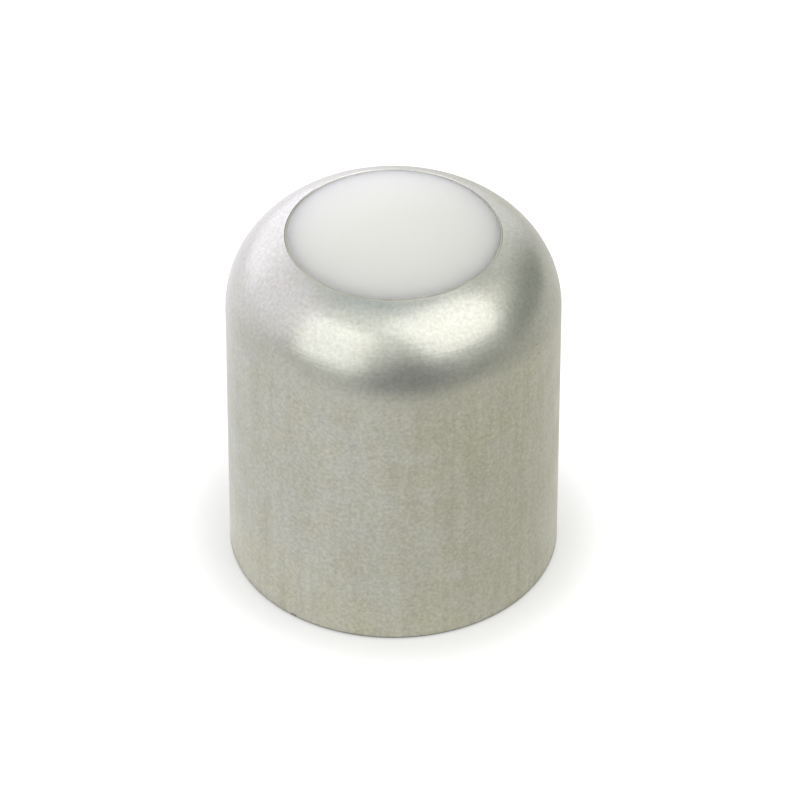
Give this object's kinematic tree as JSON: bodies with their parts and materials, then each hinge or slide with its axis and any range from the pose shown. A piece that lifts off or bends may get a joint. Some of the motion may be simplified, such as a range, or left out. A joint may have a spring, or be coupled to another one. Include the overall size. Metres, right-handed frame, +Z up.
{
  "type": "photosynthetic light sensor head",
  "caption": "Small turned sensor head for plant light: thick round-shouldered housing, opal diffuser, filtered photodiode inside, tapped base and rear cable gland.",
  "frame": {"origin": "centre of the underside, at the mouth of the tapped mounting hole", "axes": "+Z up along the housing's axis towards the diffuser, +Y to the rear along the gland's axis, +X to the right seen from the front"},
  "size_m": [0.0305, 0.0321, 0.0368],
  "materials": {
    "housing_aluminium": "satin anodised, turned",
    "opal_acrylic": "opal, fine satin",
    "bond": "cured adhesive",
    "black_acetal": "turned, matt",
    "blue_glass": "polished absorbing glass",
    "coated_glass": "polished, coated",
    "clear_glass": "polished",
    "black_rubber": "moulded, matt",
    "nickel_plate": "nickel plated",
    "stainless_steel": "machined, satin",
    "gold_plate": "gold plated",
    "silicon": "polished chip",
    "nylon": "moulded",
    "board_laminate": "solder mask, semi-gloss",
    "black_moulding": "moulded epoxy",
    "blue_moulding": "moulded",
    "yellow_moulding": "moulded epoxy",
    "resistor_ceramic": "glazed, tinned ends",
    "capacitor_ceramic": "fired, tinned ends"
  },
  "bodies": {
    "head": {"housing": "housing_aluminium", "diffuser": "opal_acrylic", "diffuser_bond": "bond", "filter_holder": "black_acetal", "glass_filter": "blue_glass", "filter_spacer": "black_acetal", "coated_filter": "coated_glass", "filter_retainer": "black_acetal", "holder_gasket": "black_rubber", "photodiode_can": "nickel_plate", "photodiode_window": "clear_glass", "photodiode_header": "gold_plate", "photodiode_chip": "silicon", "photodiode_pins": "gold_plate", "photodiode_pad": "nylon", "circuit_board": "board_laminate", "amplifier": "black_moulding", "amplifier_leads": "nickel_plate", "trimmer_case": "blue_moulding", "tantalum_capacitor": "yellow_moulding", "resistors": "resistor_ceramic", "capacitors": "capacitor_ceramic", "lead_terminals": "gold_plate", "board_screws": "stainless_steel", "base_plate": "housing_aluminium", "base_seal": "black_rubber", "base_screws": "stainless_steel", "gland_bush": "black_rubber"},
    "trimmer": {"trimmer_rotor": "nickel_plate"},
    "washer": {"gland_washer": "stainless_steel"},
    "nut": {"gland_nut": "stainless_steel"}
  },
  "joints": [
    {"name": "gain_turn", "type": "hinge", "parent": "head", "child": "trimmer", "pos_m": [-0.00413, -0.00384, 0.015], "axis": [0, 0, -1], "range_deg": [-135, 135]},
    {"name": "gland_travel", "type": "slide", "parent": "head", "child": "washer", "axis": [0, 1, 0], "range_m": [0, 0.00125]},
    {"name": "gland_turn", "type": "hinge", "parent": "washer", "child": "nut", "pos_m": [0, 0.0145, 0.009], "axis": [0, 1, 0], "range_deg": [0, 900]}
  ],
  "couplings": [
    {"joint": "gland_turn", "follows": "gland_travel", "rad_per_m": 12566}
  ]
}
